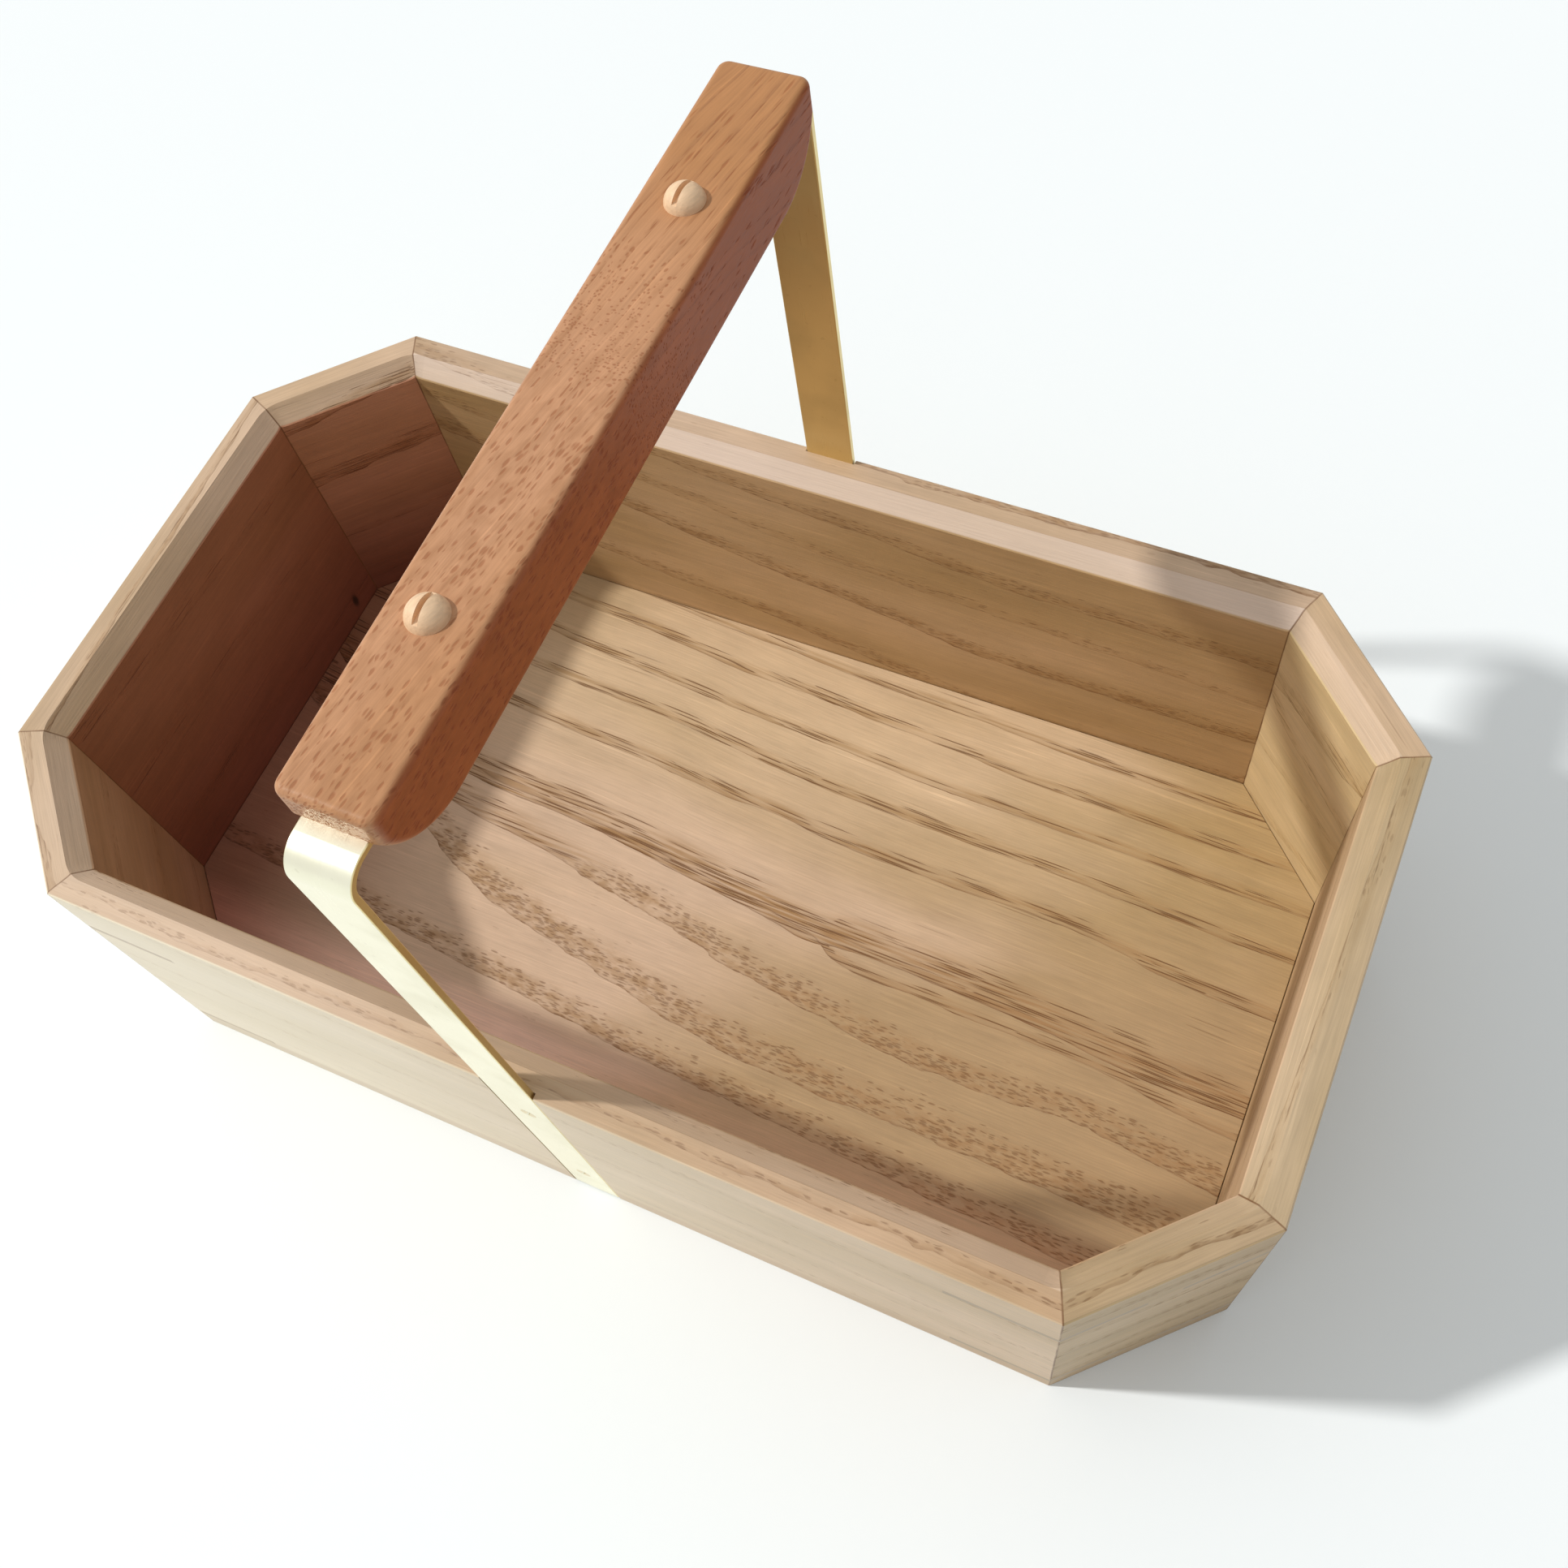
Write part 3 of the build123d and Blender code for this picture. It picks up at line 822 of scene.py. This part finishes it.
def colour_inside(sheet, wood, board, place, inner):
    """Tint a wall's inner face, with painted shade on the left boards and painted light on the far right
    corner, deepen it with painted shade towards its foot, and let in its knot.
    """
    along, _, up = sheet.split(place)
    # The inner face's tint: painted shade on the left boards, painted light on the far right corner, and
    # painted shade deepening towards the foot
    tint = board["inside"]
    if "foot" in board:
        tint = sheet.blend(sheet.smooth(up, *FOOT_SHADE_FADE), colour(board["foot"]), colour(tint))
    wood = sheet.tinted(inner, wood, tint)
    if "knot" in board:
        sideways, upwards = (
            sheet.math("DIVIDE", sheet.math("SUBTRACT", value, middle), half_size)
            for value, middle, half_size in zip((along, up), board["knot"], KNOT_HALF_SIZE)
        )
        distance = sheet.vector("LENGTH", sheet.join(sideways, upwards, 0.0))
        knot = sheet.math("MULTIPLY", inner, sheet.smooth(distance, *KNOT_FADE))
        wood = sheet.blend(knot, wood, colour(KNOT))
    return wood


def colour_rim(sheet, wood, board, settings, place, ends, outer, inner):
    """Turn a wall's rim paler towards one end with painted light, and its bevel with painted sheen, then tint
    the rim, with painted shade on the right boards.
    """
    along, inward, _ = sheet.split(place)
    not_inner = sheet.math("SUBTRACT", 1.0, inner)
    # Painted light makes the rim paler towards one end, and painted sheen makes the bevel paler
    rim = sheet.smooth(along, *ends, *board["rim"])
    bevel = sheet.smooth(inward, *BEVEL_FADE, 0.0, board["bevel"])
    rim = sheet.math("MULTIPLY", sheet.math("MAXIMUM", rim, bevel), not_inner)
    wood = paler(sheet, rim, wood, settings.bevel, settings.late, RIM_GRAIN)
    # The rim's tint, painted shade on the right boards
    if "top" in board:
        top = sheet.math("MULTIPLY", not_inner, sheet.math("SUBTRACT", 1.0, outer))
        wood = sheet.tinted(top, wood, board["top"])
    return wood


def colour_outside(sheet, wood, board, settings, place, ends, outer):
    """Turn a wall's outer face paler with painted sheen and light, tint it, and darken its lower edge with
    painted shade.
    """
    along, _, up = sheet.split(place)
    # Painted sheen and painted light: the outer face turns paler towards one end
    sheen = sheet.math("MULTIPLY", outer, sheet.smooth(along, *ends, *board["sheen"]))
    wood = paler(sheet, sheen, wood, settings.outside, settings.late, OUTSIDE_GRAIN)
    # The outer face's tint: painted shade on the near right corner
    if "outside" in board:
        wood = sheet.tinted(outer, wood, board["outside"])
    # Painted shade along the outer face's lower edge, where it meets the floor
    lower_shade = sheet.math("MULTIPLY", outer, sheet.smooth(up, *LOWER_EDGE_SHADE_FADE))
    return sheet.blend(lower_shade, wood, colour(settings.early))


def draw_glue_line(sheet, wood, settings, place, half):
    """Draw a thin dark line of glue where a wall meets its neighbours."""
    along, inward, _ = sheet.split(place)
    reach = sheet.math("MULTIPLY_ADD", inward, -math.tan(EIGHTH_TURN / 2), half)
    to_mitre = sheet.math("SUBTRACT", reach, sheet.math("ABSOLUTE", along))
    glue = sheet.smooth(to_mitre, *GLUE_FADE)
    glue = sheet.math("MULTIPLY", glue, sheet.smooth(sheet.noise(place, *GLUE_CELL), *GLUE_STRENGTH))
    return sheet.blend(glue, wood, colour(settings.pores))


def wall_wood(index, name, settings):
    """The material of one wall board, with its grain along it."""
    material, sheet, shader = new_sheet("Wood of " + name.replace("_", " "))
    middle, half, turn = wall_layout(index)
    half = half / MILLIMETRE
    ends = (-half, half)
    board = WALL_WOOD[name]
    place = local_place(sheet, middle, turn)
    along, inward, up = sheet.split(place)
    shifted = sheet.vector("ADD", place, (board["shift"], board["shift"], 0))
    height = sheet.math("MULTIPLY_ADD", inward, -board["lean"], board["lean"] * board["face"])
    height = rippled(sheet, shifted, sheet.math("ADD", height, up), WALL_RIPPLE_CELL, WALL_RIPPLE)
    since, share = sheet.rings(along, height, board["lines"])
    wood = pour_wood(sheet, shader, settings, {
        "Place": shifted,
        "Since": since,
        "Share": share,
        "Short Pores": board["short"],
    })
    shader.inputs["Specular IOR Level"].default_value = WOOD_GLOSS

    outer = sheet.smooth(inward, *OUTER_FADE)
    inner = sheet.smooth(inward, *INNER_FADE)
    wood = colour_inside(sheet, wood, board, place, inner)
    wood = colour_rim(sheet, wood, board, settings, place, ends, outer, inner)
    wood = colour_outside(sheet, wood, board, settings, place, ends, outer)
    wood = draw_glue_line(sheet, wood, settings, place, half)
    sheet.put(shader.inputs["Base Color"], wood)
    return material


def floor_wood(settings):
    """The floor's material: broad curved bands in its near half, straight rows of pores in its far half."""
    material, sheet, shader = new_sheet("Wood of floor board")
    place = local_place(sheet, (0, 0, 0), 0)
    along, across, up = sheet.split(place)
    beyond = sheet.math("SUBTRACT", across, sheet.drawn(along, FLOOR_LONG_EDGE))
    far = sheet.smooth(beyond, *FLOOR_LONG_FADE)
    height = rippled(sheet, place, across, FLOOR_RIPPLE_CELL, sheet.between(far, *FLOOR_RIPPLES))
    since, share = sheet.rings(along, height, FLOOR_LINES)

    # The grain runs straight along the board, and towards the far side it follows the lines there
    drop = sheet.math("SUBTRACT", sheet.drawn(along, FLOOR_RUN), FLOOR_RUN_MIDDLE)
    drop = sheet.math("MULTIPLY", drop, sheet.smooth(across, *FLOOR_RUN_FADE))
    run = sheet.math("SUBTRACT", across, drop)
    # The yellowing towards the right is partly the wood's tone and partly painted shade where the light falls
    # off
    slanted = sheet.math("MULTIPLY_ADD", across, FLOOR_YELLOW_AND_SHADE_SLANT, along)
    wood = pour_wood(sheet, shader, settings, {
        "Place": sheet.join(along, run, up),
        "Since": since,
        "Share": share,
        "Short Pores": sheet.math("SUBTRACT", 1.0, far),
        "Yellowing": sheet.smooth(slanted, *FLOOR_YELLOWING_AND_SHADE),
    })
    shader.inputs["Specular IOR Level"].default_value = WOOD_GLOSS
    ways = {"along": along, "across": across}
    # The first tint is painted shade at the left end, the second painted light along the near wall
    for way, fade, tint in FLOOR_LIGHT_AND_TINTS:
        wood = sheet.tinted(sheet.smooth(ways[way], *fade), wood, tint)
    sheet.put(shader.inputs["Base Color"], wood)
    return material


def grip_wood(settings):
    """The grip's material: flecked along most of it, with slanting pore rows at the far end."""
    material, sheet, shader = new_sheet("Wood of grip")
    low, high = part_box("grip_lower_half")
    centre = Vector(((low.x + high.x) / 2, (low.y + high.y) / 2, high.z))
    place = local_place(sheet, centre, math.pi / 2)
    along, across, up = sheet.split(place)
    far = sheet.smooth(along, *GRIP_FAR_FADE)

    # The rows slant from the left edge towards the right one as they go away
    slant = sheet.math("MULTIPLY_ADD", along, GRIP_SLOPE_ALONG, across)
    slant = sheet.math("MULTIPLY_ADD", up, GRIP_SLOPE_DOWN, slant)
    slant = sheet.math("MULTIPLY_ADD", sheet.noise(place, *GRIP_BEND_CELL, detail=1.0), GRIP_BEND, slant)
    since = since_last_row(sheet, slant)
    rows = sheet.smooth(since, 0.0, sheet.between(far, *GRIP_ROW_WIDTHS), 1.0, 0.0)
    rows = sheet.math("MULTIPLY", rows, sheet.between(far, *GRIP_ROW_STRENGTHS))
    turned = sheet.join(along, slant, up)
    wood = pour_wood(sheet, shader, settings, {
        "Place": sheet.vector("ADD", turned, GRIP_SHIFT),
        "Since": LINE_SPAN,
        "Share": sheet.math("MAXIMUM", rows, sheet.between(far, *GRIP_FLECKS)),
        "Short Pores": 1.0,
        "Pore Length": sheet.between(far, settings.pore_length / MILLIMETRE, GRIP_FAR_PORE_LENGTH),
        "Yellowing": sheet.smooth(along, *GRIP_YELLOWING),
    })
    shader.inputs["Specular IOR Level"].default_value = GRIP_GLOSS

    # Painted shade: the side towards the right, away from the main lamp, is darker and redder
    right = (low.x - high.x) / 2 / MILLIMETRE
    side = sheet.smooth(across, right, right + GRIP_SIDE_FADE_WIDTH, 1.0, 0.0)
    sheet.put(shader.inputs["Base Color"], sheet.tinted(side, wood, GRIP_SIDE_PAINTED_SHADE))
    return material


def plain_grain(name, base, centre, turn, cell):
    """A close-grained wood: fine streaks along it and a little mottle."""
    material, sheet, shader = new_sheet(name)
    place = local_place(sheet, centre, turn)
    streak = sheet.noise(place, *cell, detail=3.0, roughness=0.6)
    light = sheet.sway(sheet.noise(place, *PLAIN_MOTTLE_CELL), PLAIN_MOTTLE_LIGHT, 1.0)
    light = sheet.sway(streak, PLAIN_STREAK_LIGHT, light)
    sheet.put(shader.inputs["Base Color"], sheet.lit(base, light))
    sheet.put(shader.inputs["Roughness"], sheet.sway(streak, PLAIN_STREAK_ROUGHNESS, PLAIN_ROUGHNESS))
    raise_surface(sheet, shader, streak, PLAIN_DEPTH)
    return material


def brushed_brass(name, settings, outer):
    """Satin brass with fine lines brushed along the strip and a faint tarnish."""
    material, sheet, shader = new_sheet(name)
    place = local_place(sheet, (0, 0, 0), 0)
    along, across, up = sheet.split(place)
    path = sheet.math("ADD", across, up)
    lines = sheet.noise(sheet.join(path, along, 0.0), *BRUSH_CELL, detail=3.0)
    tarnish = sheet.smooth(sheet.noise(place, *TARNISH_CELL, detail=4.0), *TARNISH_FADE)
    spots = sheet.smooth(sheet.noise(place, *SPOT_CELL), *SPOT_FADE)
    dull = sheet.math("MULTIPLY", tarnish, TARNISH_STRENGTH)
    dull = sheet.math("MULTIPLY_ADD", spots, SPOT_STRENGTH, dull)

    # The outer face takes the paler brass, the inner one and the edges the darker, olive brass
    beyond = sheet.math("SUBTRACT", sheet.math("ABSOLUTE", across), BEND_MIDDLE[0])
    above = sheet.math("SUBTRACT", up, BEND_MIDDLE[1])
    past_middle = (sheet.math("MAXIMUM", value, 0.0) for value in (beyond, above))
    reach = sheet.vector("LENGTH", sheet.join(*past_middle, 0.0))
    pale_face = sheet.smooth(reach, *PALE_FACE_FADE)
    face = sheet.smooth(sheet.math("ABSOLUTE", along), *STRAP_EDGE_FADE)
    pale_face = sheet.math("MULTIPLY", pale_face, face)
    brass = sheet.blend(pale_face, colour(settings.brass_inside), colour(outer))
    sheet.put(shader.inputs["Base Color"], sheet.tinted(dull, brass, DULLED))
    rough = sheet.sway(lines, BRUSH_ROUGHNESS, settings.brass_roughness)
    rough = sheet.math("MULTIPLY_ADD", tarnish, TARNISH_ROUGHNESS, rough)
    sheet.put(shader.inputs["Roughness"], rough)
    shader.inputs["Metallic"].default_value = 1.0
    raise_surface(sheet, shader, lines, BRUSH_DEPTH)
    return material


class TRUG_OT_wall_boards(bpy.types.Operator):
    """Give the eight wall boards their grain, each along its own length"""

    bl_idname = "trug.wall_boards"
    bl_label = "Wall boards"

    def execute(self, context):
        settings = context.scene.trug_tray_wood
        for index, name in enumerate(WALL_BOARDS):
            finish_node(name, wall_wood(index, name, settings))
        return {"FINISHED"}


class TRUG_OT_floor_board(bpy.types.Operator):
    """Give the floor board its broad rings"""

    bl_idname = "trug.floor_board"
    bl_label = "Floor board"

    def execute(self, context):
        finish_node("floor_board", floor_wood(context.scene.trug_tray_wood))
        return {"FINISHED"}


class TRUG_OT_grip(bpy.types.Operator):
    """Give both halves of the grip their flecked wood"""

    bl_idname = "trug.grip"
    bl_label = "Grip"

    def execute(self, context):
        material = grip_wood(context.scene.trug_grip_wood)
        for name in ("grip_lower_half", "grip_upper_half"):
            finish_node(name, material)
        return {"FINISHED"}


class TRUG_OT_mitre_keys(bpy.types.Operator):
    """Give the slips across the mitres their wood"""

    bl_idname = "trug.mitre_keys"
    bl_label = "Mitre keys"

    def execute(self, context):
        small = context.scene.trug_small_parts
        grain = ((0, 0, 0), KEY_GRAIN_TURN, KEY_GRAIN_CELL)
        dark = plain_grain("Wood of mitre keys", small.key_wood, *grain)
        # The keys on the near left are painted paler with painted sheen and painted light
        sheened = plain_grain("Sheened wood of mitre keys", small.sheened_key, *grain)
        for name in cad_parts:
            if name.startswith("mitre_keys"):
                finish_node(name, sheened if name in SHEENED_KEYS else dark)
        return {"FINISHED"}


class TRUG_OT_handle_strap(bpy.types.Operator):
    """Give the strap and its screws their brushed brass"""

    bl_idname = "trug.handle_strap"
    bl_label = "Handle strap"

    def execute(self, context):
        small = context.scene.trug_small_parts
        finish_node("handle_strap", brushed_brass("Brass of strap", small, small.brass))
        screws = brushed_brass("Brass of strap screws", small, small.screw_brass)
        for name in ("strap_screws_near", "strap_screws_far"):
            finish_node(name, screws)
        return {"FINISHED"}


class TRUG_OT_grip_screws(bpy.types.Operator):
    """Give the round-head screws on the grip their turned wood"""

    bl_idname = "trug.grip_screws"
    bl_label = "Grip screws"

    def execute(self, context):
        small = context.scene.trug_small_parts
        for name in ("grip_screw_near", "grip_screw_far"):
            low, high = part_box(name)
            grain = ((low + high) / 2, SCREW_GRAIN_TURN, SCREW_GRAIN_CELL)
            finish_node(name, plain_grain("Wood of " + name, small.screw_wood, *grain))
        return {"FINISHED"}


class TRUG_OT_stage(bpy.types.Operator):
    """Set up the camera, the floor and the lamps"""

    bl_idname = "trug.stage"
    bl_label = "Stage"

    def execute(self, context):
        stage = context.scene.trug_stage
        add_camera(stage)
        add_floor(stage)
        add_lamps(stage)
        context.scene.view_settings.view_transform = "Standard"
        return {"FINISHED"}


def add_camera(stage):
    data = bpy.data.cameras.new("camera")
    data.sensor_width = FRAME_WIDTH
    data.lens = stage.lens
    data.clip_start = NEAREST_SEEN
    camera = bpy.data.objects.new("camera", data)
    bpy.context.scene.collection.objects.link(camera)
    place = Vector(stage.camera_place)
    sight = Vector(stage.camera_target) - place
    turn = sight.to_track_quat("-Z", "Y").to_matrix()
    turn = turn @ Matrix.Rotation(-stage.camera_roll, 3, "Z")
    camera.matrix_world = Matrix.Translation(place) @ turn.to_4x4()
    bpy.context.scene.camera = camera


def add_floor(stage):
    half = STAGE_HALF_SIZE
    corners = [(-half, -half, 0), (half, -half, 0), (half, half, 0), (-half, half, 0)]
    mesh = bpy.data.meshes.new("floor")
    mesh.from_pydata(corners, [], [(0, 1, 2, 3)])
    floor = bpy.data.objects.new("floor", mesh)
    bpy.context.scene.collection.objects.link(floor)
    floor.location.z = cad_low.z
    material, _, shader = new_sheet("Floor")
    shader.inputs["Base Color"].default_value = colour(stage.floor)
    shader.inputs["Roughness"].default_value = STAGE_ROUGHNESS
    mesh.materials.append(material)


def add_lamps(stage):
    data = bpy.data.lights.new("main lamp", "SUN")
    data.angle = stage.key_width
    data.energy = stage.key_strength
    lamp = bpy.data.objects.new("main lamp", data)
    bpy.context.scene.collection.objects.link(lamp)
    lamp.rotation_euler = Vector(stage.key_direction).to_track_quat("Z", "Y").to_euler()

    world = bpy.data.worlds.new("soft light")
    bpy.context.scene.world = world
    world.use_nodes = True
    sheet = Sheet(world.node_tree)
    background = world.node_tree.nodes["Background"]
    background.inputs["Color"].default_value = colour(SOFT_LIGHT)
    rightward, _, upward = sheet.split(sheet.add("ShaderNodeTexCoord").outputs["Generated"])
    soft = sheet.math("MULTIPLY_ADD", sheet.math("MAXIMUM", upward, 0.0), stage.sky_overhead, stage.sky_level)
    soft = sheet.math("MULTIPLY_ADD", rightward, -stage.sky_side, soft)

    # The eye, and whatever mirrors it, sees a plain pale backdrop instead
    rays = sheet.add("ShaderNodeLightPath").outputs
    seen = sheet.math("ADD", rays["Is Camera Ray"], rays["Is Glossy Ray"])
    seen = sheet.math("ADD", seen, rays["Is Transmission Ray"], clamp=True)
    sheet.put(background.inputs["Strength"], sheet.between(seen, soft, stage.backdrop))


class TRUG_PT_panel(bpy.types.Panel):
    """The trug's finishes and stage in the sidebar"""

    bl_idname = "TRUG_PT_panel"
    bl_label = "Trug"
    bl_space_type = "VIEW_3D"
    bl_region_type = "UI"
    bl_category = "Trug"

    def draw(self, context):
        for group in ("trug_tray_wood", "trug_grip_wood", "trug_small_parts", "trug_stage"):
            box = self.layout.box()
            settings = getattr(context.scene, group)
            for name in settings.__annotations__:
                box.prop(settings, name)
        for operator in OPERATORS:
            self.layout.operator(operator.bl_idname)


SETTINGS = {
    "trug_tray_wood": TrayWoodSettings,
    "trug_grip_wood": GripWoodSettings,
    "trug_small_parts": SmallPartSettings,
    "trug_stage": StageSettings,
}
OPERATORS = (
    TRUG_OT_wall_boards,
    TRUG_OT_floor_board,
    TRUG_OT_grip,
    TRUG_OT_mitre_keys,
    TRUG_OT_handle_strap,
    TRUG_OT_grip_screws,
    TRUG_OT_stage,
)


def register():
    for name, settings in SETTINGS.items():
        bpy.utils.register_class(settings)
        setattr(bpy.types.Scene, name, bpy.props.PointerProperty(type=settings))
    for operator in OPERATORS:
        bpy.utils.register_class(operator)
    bpy.utils.register_class(TRUG_PT_panel)


def unregister():
    bpy.utils.unregister_class(TRUG_PT_panel)
    for operator in reversed(OPERATORS):
        bpy.utils.unregister_class(operator)
    for name, settings in reversed(SETTINGS.items()):
        delattr(bpy.types.Scene, name)
        bpy.utils.unregister_class(settings)


def main():
    register()
    bpy.ops.trug.wall_boards()
    bpy.ops.trug.floor_board()
    bpy.ops.trug.grip()
    bpy.ops.trug.mitre_keys()
    bpy.ops.trug.handle_strap()
    bpy.ops.trug.grip_screws()
    bpy.ops.trug.stage()
    bpy.context.view_layer.update()


if __name__ == "__main__":
    main()
